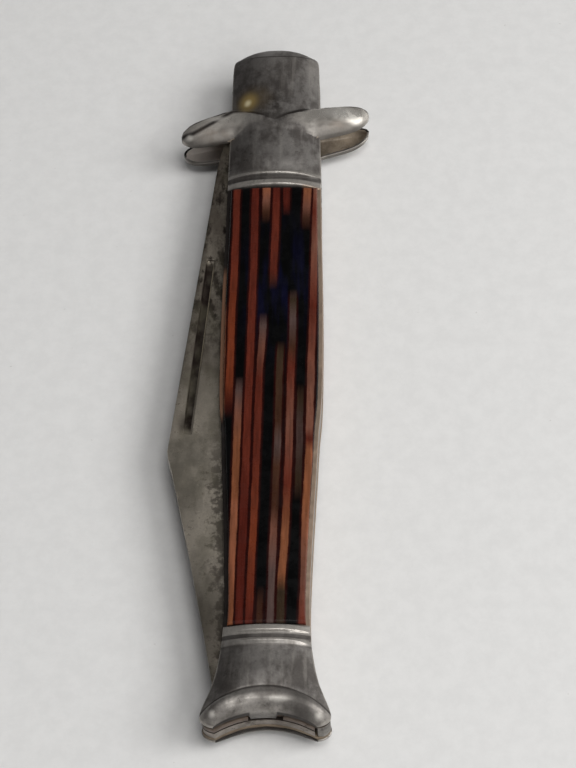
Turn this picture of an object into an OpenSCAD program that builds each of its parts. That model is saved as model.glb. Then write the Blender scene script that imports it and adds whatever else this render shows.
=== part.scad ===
// Folding guard knife with two hollow stamped shells, a swept guard and a fishtail end.
// It lies closed on its rear shell. X runs across the handle, Y along it toward the cap, Z up.

/* [Handle] */
// Closed length of the knife from the cap to the fishtail corners, mm
closed_length = 127; // [110:0.5:150]
// Half of the width of the handle at its widest, near its middle, mm
handle_half = 8.05; // [7:0.05:10]
// Half of the space between the two shell rims, mm
half_gap = 2.25; // [1.8:0.05:3]
// Height of the cap dome above its rim, mm
cap_rise = 2.95; // [2:0.05:4]
// Thickness of the stamped sheet of the shells, mm
sheet = 0.4; // [0.3:0.05:0.6]
// Height of the upright edge round each shell, mm
rim_wall = 0.45; // [0.3:0.05:0.8]

/* [Guard] */
// Half of the span of the guard from wing tip to wing tip, mm
guard_half = 15.9; // [12:0.1:20]
// How far the wing tips sweep along the handle, one down and one up, mm
guard_sweep = 2.05; // [0:0.05:4]
// Height of the guard crest above the rim beside the body, mm
guard_rise = 2.35; // [1.5:0.05:3]
// How much nearer the cap the rear wing tips stand than the front ones, mm
rear_lift = 0.6; // [0:0.05:1.5]

/* [Covers] */
// Thickness of the striped cover sheets, mm
cover_thick = 0.6; // [0.4:0.05:1]
// Width of the shell edge left bare beside a cover, mm
cover_margin = 0.62; // [0.3:0.02:1]
// Clearance left round the covers, mm
cover_gap = 0.04; // [0.02:0.01:0.1]

/* [Frame] */
// Thickness of one liner plate, mm
liner_thick = 0.75; // [0.4:0.05:1]
// How far the liners stand back from the shell edges, mm
liner_inset = 0.12; // [0.05:0.01:0.3]
// Thickness of the blade at its spine, mm
blade_thick = 2.7; // [1.5:0.05:3.2]
// Clearance at the bores of moving and fixed rivets, radial, mm
bore_clear = 0.04; // [0.02:0.01:0.08]

/* [Blade] */
// Angle between the closed blade and the handle, degrees
blade_lean = 6.05; // [3:0.05:9]
// Pivot position across the handle, mm
pivot_x = -0.387; // [-2:0.001:2]
// Distance of the pivot from the cap end of the handle, mm
pivot_back = 9.3; // [8:0.1:12]
// Radius of the pivot rivet, mm
pivot_r = 1.2; // [0.8:0.05:1.8]
// Radius of the round tang that turns past the spring, mm
tang_r = 3.95; // [3:0.05:5]
// Distance from the pivot to the spine line, mm
spine_s = 7.69; // [6:0.01:9]
// Depth of the nail groove in the front of the blade, mm
groove_deep = 0.4; // [0.2:0.05:0.6]
// Width of the nail groove, mm
groove_wide = 1.25; // [0.8:0.05:2]

/* [Rivets] */
// Radius of the rivets through the spring, mm
rivet_r = 1; // [0.6:0.05:1.5]
// Radius of the small pins through the tail spacer, mm
pin_r = 0.5; // [0.3:0.05:0.8]
// Radius of a rivet head, mm
head_r = 1.9; // [1.2:0.1:2.5]
// Height of a rivet head above its liner, mm
head_h = 0.35; // [0.2:0.05:0.6]

/* [Hidden] */
$fn = 48;

mid_z = half_gap + cap_rise;
end_y = closed_length / 2;
pivot_y = end_y - pivot_back;
// How the shape tables stretch along the handle, across it and upward
along = closed_length / 127;
across = handle_half / 8.05;
upward = cap_rise / 2.95;
gap_in = half_gap - liner_thick;
swing = 180 - blade_lean;

// Half width of the handle body at each place along it, before the stretch
body_w = [[61.6, 6.7], [61.57, 6.72], [61.53, 6.75], [61.45, 6.84], [61.25, 7.06], [61, 7.22],
    [60.4, 7.36], [59, 7.45], [55, 7.5], [50, 7.5], [44, 7.62], [38, 7.7], [34, 7.75], [25, 7.8],
    [16, 7.95], [6, 8.05], [-4, 8.0], [-10, 7.85], [-15, 7.45], [-22, 7.12], [-30, 6.7],
    [-38, 6.35], [-45, 6.17],
    [-50, 6.35], [-54, 6.85], [-57, 7.5], [-59.2, 8.3], [-60.5, 8.8], [-61.5, 9.12], [-62.1, 9.18],
    [-62.5, 9.05], [-62.9, 8.7], [-63.2, 8.2], [-63.4, 7.7], [-63.5, 7.2]];
// Share of the wing that a shell has reached at each place along the guard
guard_part = [[49.3, 0], [49.19, 0.119], [48.87, 0.298], [48.55, 0.524], [48.14, 0.726],
    [47.63, 0.881], [47.07, 0.964], [46.4, 1], [45.6, 0.988], [44.85, 0.929], [44.26, 0.845],
    [43.82, 0.726], [43.62, 0.612], [43.5, 0.481], [43.4, 0]];
// How much further along the centre of a row lies than its sides
row_sag = [[61.6, 1.9], [61.3, -1.15], [58, 0], [-51.4, 0], [-54, 0.35], [-56, 0.95], [-58, 1.85],
    [-60, 2.85], [-61.5, 3.6], [-61.9, 3.85], [-63.5, 2.1]];
// Height of the centre line above the rim, before the stretch
rise = [[61.6, 2.65], [61.57, 2.7], [61.53, 2.85], [61.45, 2.95], [48.6, 2.95], [47.4, 2.9],
    [46.2, 2.8], [44, 2.6], [41, 2.45],
    [38, 2.35], [36.3, 2.15], [35.5, 2.05], [35.25, 2.15], [35.1, 2.38], [34.9, 2.45],
    [34.65, 2.38], [34.45, 2.1], [34.3, 1.8], [33.8, 1.8], [33.6, 2.02], [33.3, 2.1], [32.75, 2.1],
    [32.45, 1.95], [32.3, 0.95], [-48.1, 0.9], [-48.25, 1.7], [-49.1, 1.72], [-49.35, 1.45],
    [-50.15, 1.45], [-50.5, 1.95], [-50.9, 2.2], [-51.3, 1.95], [-51.7, 1.8], [-54, 1.95],
    [-57.5, 2.15], [-61.5, 2.1], [-61.9, 2.05], [-62.05, 2.42], [-62.25, 2.74], [-62.5, 2.88],
    [-62.8, 2.8], [-63.1, 2.5], [-63.3, 2.05], [-63.42, 1.6], [-63.48, 1.25], [-63.5, 1.2]];
// Fullness of the cross section: larger is flatter on top
full = [[61.6, 2.4], [-48, 2.4], [-52, 2.6], [-58, 3.2], [-61.5, 4.5], [-62.1, 6.5], [-63.5, 8]];
// The end of the cap is cut by a slope that starts here along the handle, falling this much a mm
slope_from = 61.3;
slope_fall = 0.48;
// Upper and lower edge of a wing for each share of its reach
wing_up = [[0, 49.3], [0.119, 49.19], [0.298, 48.87], [0.524, 48.55], [0.726, 48.14], [0.881, 47.63],
    [0.964, 47.07], [1, 46.4]];
wing_low = [[0, 43.4], [0.481, 43.5], [0.612, 43.62], [0.726, 43.82], [0.845, 44.26],
    [0.929, 44.85], [0.988, 45.6], [1, 46.4]];
// Crest of the guard: distance from the centre, place along the handle, height above the edge
crest_y = [[0, 45.9], [2.4, 46.9], [5, 47.9], [7.5, 48.38]];
crest_h = [[0, 1.9], [2.4, 2.25], [5, 1.9], [7.5, 1.75], [10, 1.75], [12.5, 1.65], [14, 1.4],
    [15, 1.0], [15.6, 0.55], [15.9, 0.1]];

function body(v) = across * lookup(v, body_w);
function row_w(v) = body(v) + (guard_half - body(v)) * lookup(v, guard_part);
function sag(v) = lookup(v, row_sag);
function outward(a) = max(0, a - 0.9 * handle_half) / (guard_half - 0.9 * handle_half);
function side(v) = v < 49.35 && v > 43.35 ? 1 : 0;
function cut(x, v) = v > slope_from
    ? slope_fall * (v - slope_from + (sag(v) - sag(slope_from)) * (1 - pow(x / row_w(v), 2))) : 0;
function dome(x, v) = max(0, max(0, upward * lookup(v, rise) - rim_wall)
    * (1 - pow(min(1, abs(x) / body(v)), lookup(v, full))) - cut(x, v));
// A wing is round across: it rises from its lower edge to a crest and drops to its upper edge
function round_up(s) = sqrt(max(0, 1 - pow(1 - min(1, max(0, s)), 2)));
function wing(a, v) = let (b = a * 15.9 / guard_half, s = (a - body(v)) / (guard_half - body(v)),
        high = lookup(s, wing_up), low = lookup(s, wing_low),
        c = b < 7.5 ? lookup(b, crest_y) : low + 0.84 * (high - low))
    v > 43.4 && v < 49.3 ? lookup(b, crest_h) * guard_rise / 2.35
        * (v > c ? round_up(1 - (v - c) / max(0.1, min(1.1, high - c)))
            : round_up((v - low) / max(0.1, c - low))) : 0;
// The higher of two heights, with a small fillet where they meet
function blend(a, b) = let (k = max(0.0001, min(0.8, min(a, b))), h = max(0, k - abs(a - b)) / k)
    max(a, b) + h * h * k / 4;
function top(x, v) = rim_wall + blend(dome(x, v), wing(abs(x), v));
// A point of a shell before its rim is cut, from a place across and a place along
function at(x, v, z, lift) = [x, along * v + sag(v) * (1 - pow(x / row_w(v), 2)) + side(v)
    * (sign(x) * guard_sweep + lift) * outward(abs(x)), z];

// Rows of a shell from the cap to the fishtail
rows = [61.6, 61.56, 61.5, 61.4, 61.3, 61, 60.3, 58.6, 55.5, 52.5, 50.4, 49.6, 49.3, 49.19,
    48.87, 48.55, 48.14, 47.63, 47.07, 46.75, 46.4, 46.0, 45.6, 44.85, 44.26, 43.82, 43.62, 43.5,
    43.4, 42.4, 40.5, 38, 36.3, 35.5, 35.25, 35.1, 34.9, 34.65, 34.45, 34.3, 33.8, 33.6, 33.3,
    32.75, 32.45, 32.3, 28, 22, 16, 11, 6, 1, -4, -8, -11, -14, -18, -22, -28, -34, -40, -45,
    -48.1, -48.25, -49.1, -49.35, -50.15, -50.5, -50.9, -51.3, -51.7, -54, -56.2, -58, -59.6,
    -60.8, -61.5, -61.9, -62.05, -62.25, -62.5, -62.8, -63.1, -63.3, -63.42, -63.48, -63.5];
last = len(rows) - 1;
edge_cols = 6;
mid_cols = 10;
cols = 2 * edge_cols + mid_cols;
in_part = 0.84;
rim_step = 0.1;
tab_half = 1.8;
tab_drop = 0.7;

function from_edge(j) = min(j, cols - j);
// Place across of a column, in a row whose edge stands at w
function col_x(v, j, w) = let (k = from_edge(j), s = j < cols / 2 ? -1 : 1, wi = in_part * body(v))
    k >= edge_cols ? wi * (2 * (j - edge_cols) / mid_cols - 1)
    : k == 0 ? s * w : s * (w - rim_step - (w - rim_step - wi) * (k - 1) / (edge_cols - 1));
function on_rim(i, j) = i == 0 || i == last || from_edge(j) == 0;
function in_tab(i, x) = i == last && abs(x) < tab_half ? 1 : 0;
function outer(i, j, tab, lift) = let (v = rows[i], x = col_x(v, j, row_w(v)), p = at(x, v, 0, lift))
    [x, p[1] - in_tab(i, x) * tab * 0.1, on_rim(i, j) ? -in_tab(i, x) * tab * tab_drop : top(x, v)];
// How far the inner face of a row stands back along the handle from the outer one
function back_off(v) = v > 59 ? -(v - 59) / 2.6 : v > 49.3 ? -max(0, 1 - (v - 49.3) / 2.5)
    : v > 43.4 ? (46.35 - v) / 2.95 : v > -61.9 ? max(0, 0.7 - (43.4 - v) / 3) : (-61.9 - v) / 1.6;
function inner(i, j, tab, lift) = let (v = rows[i], x = col_x(v, j, row_w(v)),
    p = outer(i, j, tab, lift),
    xi = col_x(v, j, row_w(v) - sheet))
    [xi, p[1] + sheet * back_off(v),
        on_rim(i, j) ? p[2] : p[2] - sheet * (from_edge(j) == 1 || i == 1 || i == last - 1 ? 0.7 : 1)];

// Closed solid between two grids of points with the same rows and columns
module between(upper, lower) {
    n = len(upper);
    m = len(upper[0]);
    pts = concat([for (r = upper) for (p = r) p], [for (r = lower) for (p = r) p]);
    function id(g, i, j) = g * n * m + i * m + j;
    function turned(i, j) = (i < (n - 1) / 2) != (j < (m - 1) / 2);
    function tile(g, i, j, h) = let (a = id(g, i, j), b = id(g, i, j + 1), c = id(g, i + 1, j + 1),
        d = id(g, i + 1, j), t = turned(i, j) ? (h == 0 ? [a, b, d] : [b, c, d])
            : (h == 0 ? [a, b, c] : [a, c, d])) g == 0 ? t : [t[0], t[2], t[1]];
    polyhedron(pts, concat(
        [for (g = [0, 1], i = [0:n - 2], j = [0:m - 2], h = [0, 1]) tile(g, i, j, h)],
        [for (i = [0:n - 2], h = [0, 1]) h == 0
            ? [id(0, i, 0), id(0, i + 1, 0), id(1, i + 1, 0)] : [id(0, i, 0), id(1, i + 1, 0), id(1, i, 0)]],
        [for (i = [0:n - 2], h = [0, 1]) h == 0
            ? [id(0, i, m - 1), id(1, i + 1, m - 1), id(0, i + 1, m - 1)]
            : [id(0, i, m - 1), id(1, i, m - 1), id(1, i + 1, m - 1)]],
        [for (j = [0:m - 2], h = [0, 1]) h == 0
            ? [id(0, 0, j), id(1, 0, j + 1), id(0, 0, j + 1)] : [id(0, 0, j), id(1, 0, j), id(1, 0, j + 1)]],
        [for (j = [0:m - 2], h = [0, 1]) h == 0
            ? [id(0, n - 1, j), id(0, n - 1, j + 1), id(1, n - 1, j + 1)]
            : [id(0, n - 1, j), id(1, n - 1, j + 1), id(1, n - 1, j)]]), convexity = 8);
}

module shell(tab, lift) {
    between([for (i = [0:last]) [for (j = [0:cols]) outer(i, j, tab, lift)]],
        [for (i = [0:last]) [for (j = [0:cols]) inner(i, j, tab, lift)]]);
}

// Rows and columns of a cover
cover_rows = [32.2, 31.6, 28, 22, 16, 11, 6, 1, -4, -8, -11, -14, -18, -22, -28, -34, -40, -45,
    -47.4, -48.0];
cover_cols = [-1, -0.96, -0.84, -0.63, -0.42, -0.21, 0, 0.21, 0.42, 0.63, 0.84, 0.96, 1];
function cover_at(v, f, z) = let (w = body(v) - cover_margin) [f * w, along * v, z + top(f * w, v)];

module cover() {
    between(
        [for (v = cover_rows) [for (f = cover_cols) cover_at(v, f,
            cover_gap + cover_thick * (abs(f) == 1 ? 0.45 : abs(f) > 0.9 ? 0.85 : 1))]],
        [for (v = cover_rows) [for (f = cover_cols) cover_at(v, f, cover_gap)]]);
}

// Outline of the handle body, brought in by a margin, without the guard
out_rows = [61.3, 61.0, 60.4, 59, 55, 50, 44, 38, 34, 25, 16, 6, -4, -10, -15, -22, -30, -38, -45,
    -50, -54, -57, -59.2, -60.5, -61.5, -62.1, -62.5, -62.9, -63.2];
function cap_edge(x, m) = along * 61.6 + sag(61.6) * (1 - pow(x / body(61.6), 2)) - m;
function tail_edge(x, m) = sag(-63.5) * (1 - pow(x / body(-63.5), 2)) + m - along * 63.5;
// Points of the tail end from x to x, with a slot for the tab
slot_half = tab_half + 0.65;
function tail_points(list, m) = [for (x = list) [across * x, tail_edge(across * x, m)]];
slot_points = [[slot_half, tail_edge(0, sheet)], [-slot_half, tail_edge(0, sheet)]];
module handle_outline(m, slot) {
    polygon(concat(
        [for (k = [0:8]) let (x = across * (-6.6 + 13.2 * k / 8)) [x, cap_edge(x, m)]],
        [for (v = out_rows) [body(v) - m, along * v]],
        tail_points([7.2, 6, 4, 2.6], m), slot ? slot_points : tail_points([0], m),
        tail_points([-2.6, -4, -6, -7.2], m),
        [for (k = [len(out_rows) - 1:-1:0]) [m - body(out_rows[k]), along * out_rows[k]]]));
}

// Places of the rivets and pins
spring_at = [across * 5.75, along * 1];
tail_at = [across * 4.75, along * -56.6];
left_at = [across * -5.2, 2.25 - end_y];
right_at = [across * 4.4, 2.4 - end_y];

module bores(c) {
    translate([pivot_x, pivot_y]) circle(pivot_r + c);
    translate(spring_at) circle(rivet_r + c);
    translate(tail_at) circle(rivet_r + c);
    translate(left_at) circle(pin_r + c);
    translate(right_at) circle(pin_r + c);
}

module liner(slot) {
    linear_extrude(liner_thick) difference() {
        handle_outline(liner_inset, slot);
        bores(bore_clear);
    }
}

// Inner edge of the spring from its tip to its tail
spring_tip = pivot_y + 2.6;
spring_side = [[2, 3.75], [-12, 3.7], [-22, 3.4], [-32, 2.9], [-42, 2.5], [-50, 2.4]];
spacer_top = 3.15 - end_y;
spring_end = [[2.3, spacer_top + 0.75], [7.0, spacer_top + 0.25], [7.1, spacer_top - 2.4]];
spring_in = concat([[pivot_x + tang_r + 0.09, spring_tip], [pivot_x + tang_r + 0.09, along * 20]],
    [for (p = spring_side) [across * p[1], along * p[0]]],
    [for (p = spring_end) [across * p[0], p[1]]]);
module spring_shape() {
    polygon(concat(
        [[body(55) - liner_inset, spring_tip]],
        [for (v = out_rows) if (v < 56) [body(v) - liner_inset, along * v]],
        [[across * 7.3, 0.25 - end_y]],
        [for (k = [len(spring_in) - 1:-1:0]) spring_in[k]]));
}

module back_spring_solid() {
    translate([0, 0, mid_z - gap_in]) linear_extrude(2 * gap_in) difference() {
        spring_shape();
        translate(spring_at) circle(rivet_r + bore_clear);
        translate(tail_at) circle(rivet_r + bore_clear);
    }
}

// Depth of the tab's slot in the spacer, from its upper face
slot_deep = 1.24;
module spacer_solid() {
    difference() {
        translate([0, 0, mid_z - gap_in]) linear_extrude(2 * gap_in) difference() {
            polygon(concat(
                [[across * -8.7, spacer_top], [across * 6.85, spacer_top]],
                tail_points([6.85, 5, 4, 3, 2, 1, 0, -1, -2, -3, -4, -5, -6, -7.2], liner_inset),
                [for (p = [[-8.0, 0.35], [-8.5, 0.65], [-8.85, 1.1], [-8.95, 1.9]])
                    [across * p[0], p[1] - end_y]]));
            translate(left_at) circle(pin_r + bore_clear);
            translate(right_at) circle(pin_r + bore_clear);
        }
        translate([-slot_half, -end_y - 1, mid_z + gap_in - slot_deep])
            cube([2 * slot_half, 1 + sag(-63.5) + sheet, slot_deep + 1]);
    }
}

// Blade outline from the pivot: first toward the spine, then along the blade
blade_line = [[6.35, 2.65], [6.75, 5.5], [7.25, 11], [7.6, 16],
    [7.69, 21], [7.69, 72.8], [7.35, 74.2], [6.5, 76.4], [4.0, 83.9], [1.9, 90.1],
    [0.15, 95.8], [-1.6, 101.3], [-3.1, 106.3], [-4.4, 110.7], [-5.4, 113.6],
    [-6.3, 112.3], [-7.6, 109.5], [-9.0, 105.2], [-10.1, 100.2], [-10.9, 94], [-11.25, 87.5],
    [-11.25, 81], [-10.9, 74], [-7.8, 42], [-4.75, 11.5], [-4.35, 10.2], [-4.2, 9.2],
    [-4.75, 8.2], [-4.7, 7.4]];
broad = spine_s / 7.69;
module blade_shape() {
    union() {
        circle(tang_r);
        polygon(concat([[tang_r, 0], [tang_r, 2.65]],
            [for (p = blade_line) [broad * p[0], along * p[1]]],
            [[-tang_r * cos(blade_lean), -tang_r * sin(blade_lean)], [0, 0]]));
    }
}

// Ground side of the blade: the plate thins from the spine to the edge
grind_top = broad * 5.6;
module grind() {
    rotate([-90, 0, 0]) linear_extrude(along * 106)
        polygon([[grind_top, -blade_thick / 2], [grind_top, -blade_thick / 2 - 2],
            [broad * -16, -blade_thick / 2 - 2], [broad * -16, -0.02], [broad * -12.6, -0.14]]);
}

module blade_solid() {
    translate([pivot_x, pivot_y, mid_z]) rotate([0, 0, swing]) difference() {
        translate([0, 0, -blade_thick / 2]) linear_extrude(blade_thick) difference() {
            blade_shape();
            circle(pivot_r + bore_clear);
        }
        translate([0, along * 13, 0]) rotate([0, 0, 5.4]) grind();
        translate([0, along * 13, 0]) rotate([0, 0, 5.4]) mirror([0, 0, 1]) grind();
        translate([broad * 6.0, along * 35.9, blade_thick / 2 - groove_deep]) rotate([0, 0, 1.66])
            translate([-groove_wide / 2, 0, 0]) cube([groove_wide, along * 33.7, 2]);
    }
}

module rivet(at, r, up) {
    translate([at[0], at[1], mid_z - half_gap]) cylinder(r = r, h = 2 * half_gap);
    if (up > 0) {
        translate([at[0], at[1], mid_z + half_gap]) cylinder(r1 = head_r, r2 = head_r - 0.4, h = up);
        translate([at[0], at[1], mid_z - half_gap - up])
            cylinder(r1 = head_r - 0.4, r2 = head_r, h = up);
    }
}

module front_shell() {
    color([0.42, 0.41, 0.40]) translate([0, 0, mid_z + half_gap]) shell(1, 0);
}
module rear_shell() {
    color([0.42, 0.41, 0.40]) translate([0, 0, mid_z - half_gap]) mirror([0, 0, 1]) shell(0, rear_lift);
}
module front_cover() {
    color([0.45, 0.2, 0.12]) translate([0, 0, mid_z + half_gap]) cover();
}
module rear_cover() {
    color([0.45, 0.2, 0.12]) translate([0, 0, mid_z - half_gap]) mirror([0, 0, 1]) cover();
}
module front_liner() {
    color([0.62, 0.6, 0.55]) translate([0, 0, mid_z + gap_in]) liner(true);
}
module rear_liner() {
    color([0.62, 0.6, 0.55]) translate([0, 0, mid_z - half_gap]) liner(false);
}
module back_spring() {
    color([0.5, 0.5, 0.52]) back_spring_solid();
}
module tail_spacer() {
    color([0.75, 0.74, 0.7]) spacer_solid();
}
module blade() {
    color([0.55, 0.55, 0.57]) blade_solid();
}
module pivot_rivet() {
    color([0.6, 0.6, 0.6]) rivet([pivot_x, pivot_y], pivot_r, head_h);
}
module spring_rivet() {
    color([0.6, 0.6, 0.6]) rivet(spring_at, rivet_r, 0);
}
module tail_rivet() {
    color([0.6, 0.6, 0.6]) rivet(tail_at, rivet_r, head_h);
}
module left_pin() {
    color([0.6, 0.6, 0.6]) rivet(left_at, pin_r, 0);
}
module right_pin() {
    color([0.6, 0.6, 0.6]) rivet(right_at, pin_r, 0);
}

front_shell();
rear_shell();
front_cover();
rear_cover();
front_liner();
rear_liner();
back_spring();
tail_spacer();
blade();
pivot_rivet();
spring_rivet();
tail_rivet();
left_pin();
right_pin();
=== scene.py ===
# %% [markdown]
# # An old folding knife, closed, on a pale table
# The knife is two hollow stamped steel shells with a striped cover set into each, two thin
# liner plates, a spring along one side, and a blade that turns on a rivet in the cap. The packed
# model gives every solid and the one joint. This lesson dresses it: each piece is modelled in
# place with bmesh, and each finish is a set of nodes.

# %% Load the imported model
import math
import bmesh
import bpy
from mathutils import Matrix, Vector


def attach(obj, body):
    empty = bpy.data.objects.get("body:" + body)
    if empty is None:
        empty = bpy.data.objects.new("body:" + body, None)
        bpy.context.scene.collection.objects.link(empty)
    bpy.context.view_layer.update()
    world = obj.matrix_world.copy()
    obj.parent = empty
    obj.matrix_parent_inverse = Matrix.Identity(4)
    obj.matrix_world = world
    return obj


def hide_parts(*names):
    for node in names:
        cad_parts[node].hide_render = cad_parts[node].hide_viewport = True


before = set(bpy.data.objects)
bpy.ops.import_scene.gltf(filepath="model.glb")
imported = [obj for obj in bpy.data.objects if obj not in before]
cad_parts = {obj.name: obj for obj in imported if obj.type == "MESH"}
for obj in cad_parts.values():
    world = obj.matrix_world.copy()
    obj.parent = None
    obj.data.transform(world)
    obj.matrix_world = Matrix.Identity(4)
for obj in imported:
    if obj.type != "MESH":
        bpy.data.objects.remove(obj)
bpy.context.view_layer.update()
MM = 0.001
print("solids:", sorted(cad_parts))

# %% [markdown]
# ## The camera
# The photograph was taken by hand, from above and a little toward the forked tail, turned a few
# degrees. A camera can be placed by eye, or worked out from points whose real places are known.
# The second way was used, so the script only repeats the answer: where it looks, from how far,
# and how it is rolled.

# %% Place the camera
LOOK_AT = Vector((2.53, -4.585, 5.2)) * MM
TURN, RISE_ANGLE, ROLL = (math.radians(a) for a in (4.04, 55.90, -4.20))
DISTANCE = 303.96 * MM
SENSOR_HEIGHT, FOCAL_LENGTH = 36, 91.17


def camera_axes():
    back = Vector((math.sin(TURN) * math.cos(RISE_ANGLE), -math.cos(TURN) * math.cos(RISE_ANGLE),
                   math.sin(RISE_ANGLE)))
    level = Vector((math.cos(TURN), math.sin(TURN), 0))
    upright = back.cross(level)
    right = math.cos(ROLL) * level + math.sin(ROLL) * upright
    return right, back.cross(right), back


def in_scene(name, data):
    thing = bpy.data.objects.new(name, data)
    bpy.context.collection.objects.link(thing)
    return thing


right, up, back = camera_axes()
camera_data = bpy.data.cameras.new("camera")
camera_data.sensor_fit = "VERTICAL"
camera_data.sensor_height = SENSOR_HEIGHT
camera_data.lens = FOCAL_LENGTH
camera_data.clip_start = 10 * MM
camera = in_scene("camera", camera_data)
camera.matrix_world = Matrix.Translation(LOOK_AT + back * DISTANCE) @ Matrix(
    (right, up, back)).transposed().to_4x4()
bpy.context.scene.camera = camera
print("camera stands at", [round(v, 4) for v in camera.matrix_world.translation])

# %% [markdown]
# ## The shape of a stamped shell
# Each shell is a narrow dome: its width changes along the handle, its height changes too, and
# two wings stand out as a guard. It could be sculpted, but a few short tables of measured
# widths and heights are easier to correct. A smooth curve runs through each table, and it
# never swings past the measured points, so a flat band stays flat.


# %% A smooth curve through a table, and a clip to 0 and 1
def curve(table):
    points = sorted(table)
    xs, ys = [p[0] for p in points], [p[1] for p in points]
    steps = [(ys[i + 1] - ys[i]) / (xs[i + 1] - xs[i]) for i in range(len(xs) - 1)]
    slopes = [steps[0]] + [0 if a * b <= 0 else 2 * a * b / (a + b)
                           for a, b in zip(steps, steps[1:])] + [steps[-1]]

    def value(x):
        if x <= xs[0] or x >= xs[-1]:
            return ys[0] if x <= xs[0] else ys[-1]
        i = next(k for k in range(len(xs) - 1) if x <= xs[k + 1])
        h = xs[i + 1] - xs[i]
        t = (x - xs[i]) / h
        return ((1 + 2 * t) * (1 - t) ** 2 * ys[i] + t * (1 - t) ** 2 * h * slopes[i]
                + t * t * (3 - 2 * t) * ys[i + 1] + t * t * (t - 1) * h * slopes[i + 1])
    return value


def clip(value):
    return max(0, min(1, value))


print("a third of the way along a rise:", round(curve([(0, 0), (1, 0), (4, 1)])(2), 2))

# %% Widths of the handle and the reach of the guard, in mm
# pairs of a place along the handle, from cap to tail, and half the width there
body_width = curve([
    (61.6, 6.7), (61.57, 6.72), (61.53, 6.75), (61.45, 6.84), (61.25, 7.06), (61, 7.22),
    (60.4, 7.36), (59, 7.45), (55, 7.5), (50, 7.5), (44, 7.62), (38, 7.7), (34, 7.75),
    (25, 7.8), (16, 7.95), (6, 8.05), (-4, 8.0), (-10, 7.85), (-15, 7.45), (-22, 7.12),
    (-30, 6.7), (-38, 6.35), (-45, 6.17), (-50, 6.35), (-54, 6.85), (-57, 7.5), (-59.2, 8.3),
    (-60.5, 8.8), (-61.5, 9.12), (-62.1, 9.18), (-62.5, 9.05), (-62.9, 8.7), (-63.2, 8.2),
    (-63.4, 7.7), (-63.5, 7.2)])
# how much of its full reach the guard has there
guard_share = curve([
    (49.3, 0), (49.19, 0.119), (48.87, 0.298), (48.55, 0.524), (48.14, 0.726), (47.63, 0.881),
    (47.07, 0.964), (46.4, 1), (45.6, 0.988), (44.85, 0.929), (44.26, 0.845), (43.82, 0.726),
    (43.62, 0.612), (43.5, 0.481), (43.4, 0)])
# how far the middle of a row is drawn toward the cap, which hollows the fishtail
tail_sag = curve([(-51.4, 0), (-54, 0.35), (-56, 0.95), (-58, 1.85), (-60, 2.85), (-61.5, 3.6),
                  (-61.9, 3.85)])
# the upper and lower edge of a wing at a share of the guard's reach
wing_top = curve([(0, 49.3), (0.119, 49.19), (0.298, 48.87), (0.524, 48.55), (0.726, 48.14),
                  (0.881, 47.63), (0.964, 47.07), (1, 46.4)])
wing_bottom = curve([(0, 43.4), (0.481, 43.5), (0.612, 43.62), (0.726, 43.82), (0.845, 44.26),
                     (0.929, 44.85), (0.988, 45.6), (1, 46.4)])
GUARD_HALF, GUARD_LOW, GUARD_HIGH = 15.9, 43.4, 49.3
GUARD_SWEEP, REAR_LIFT, SWEEP_FROM = 2.05, 0.6, 7.245
CAP_END, SLOPE_FROM, SAG_FROM, CAP_SAG, CAP_RETURN = 61.6, 61.3, 58, 1.15, 3.05
TAIL_END, LIP_FROM, LIP_SAG, LIP_RETURN = -63.5, -61.9, 3.85, 1.75
print("the waist is", round(2 * body_width(-45), 2), "mm across")


# %% Half the width of a row, and how far its middle is drawn along the handle
def half_width(v):
    return body_width(v) + (GUARD_HALF - body_width(v)) * guard_share(v)


def row_sag(v):
    """How much further along the centre of a row lies than its sides"""
    if v > SLOPE_FROM:
        return CAP_RETURN * (v - SLOPE_FROM) / (CAP_END - SLOPE_FROM) - CAP_SAG
    if v > SAG_FROM:
        return -CAP_SAG * (v - SAG_FROM) / (SLOPE_FROM - SAG_FROM)
    if v > LIP_FROM:
        return tail_sag(v)
    return LIP_SAG - LIP_RETURN * (LIP_FROM - v) / (LIP_FROM - TAIL_END)


def in_guard(v):
    return GUARD_LOW - 0.05 < v < GUARD_HIGH + 0.05


def outward(a):
    """0 where the guard leaves the body, 1 at its tips"""
    return max(0, a - SWEEP_FROM) / (GUARD_HALF - SWEEP_FROM)


print("the guard reaches", round(half_width(46.4), 2), "mm from the middle")

# %% Heights of the dome and of the guard's crest, in mm
# pairs of a place along the handle and the height of the arch over its rim
dome_height = curve([
    (61.6, 2.62), (61.58, 2.66), (61.54, 2.8), (61.46, 2.92), (61.3, 2.95), (48.6, 2.95),
    (47.4, 2.9), (46.2, 2.8), (44, 2.6), (41, 2.45), (38, 2.35), (36.3, 2.15), (35.5, 2.05),
    (35.25, 2.15), (35.1, 2.38), (34.9, 2.45), (34.65, 2.38), (34.45, 2.1), (34.3, 1.8),
    (33.8, 1.8), (33.6, 2.02), (33.3, 2.1), (32.75, 2.1), (32.45, 1.95), (32.3, 0.95),
    (-48.1, 0.9), (-48.25, 1.6), (-48.4, 1.7), (-49.1, 1.72), (-49.35, 1.45), (-50.15, 1.45),
    (-50.5, 1.95), (-50.9, 2.2), (-51.3, 1.95), (-51.7, 1.8), (-54, 1.95), (-57.5, 2.15),
    (-61.5, 2.1), (-61.85, 2.03), (-62.05, 2.4), (-62.25, 2.72), (-62.5, 2.86), (-62.8, 2.8),
    (-63.1, 2.5), (-63.3, 2.05), (-63.42, 1.6), (-63.48, 1.25), (-63.5, 1.2)])
# the power of the arch: a higher one has a flatter top and rounder shoulders
fullness = curve([(61.6, 2.4), (-48, 2.4), (-52, 2.6), (-58, 3.2), (-61.5, 4.5), (-62.1, 6.5),
                  (-63.5, 8)])
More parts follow.
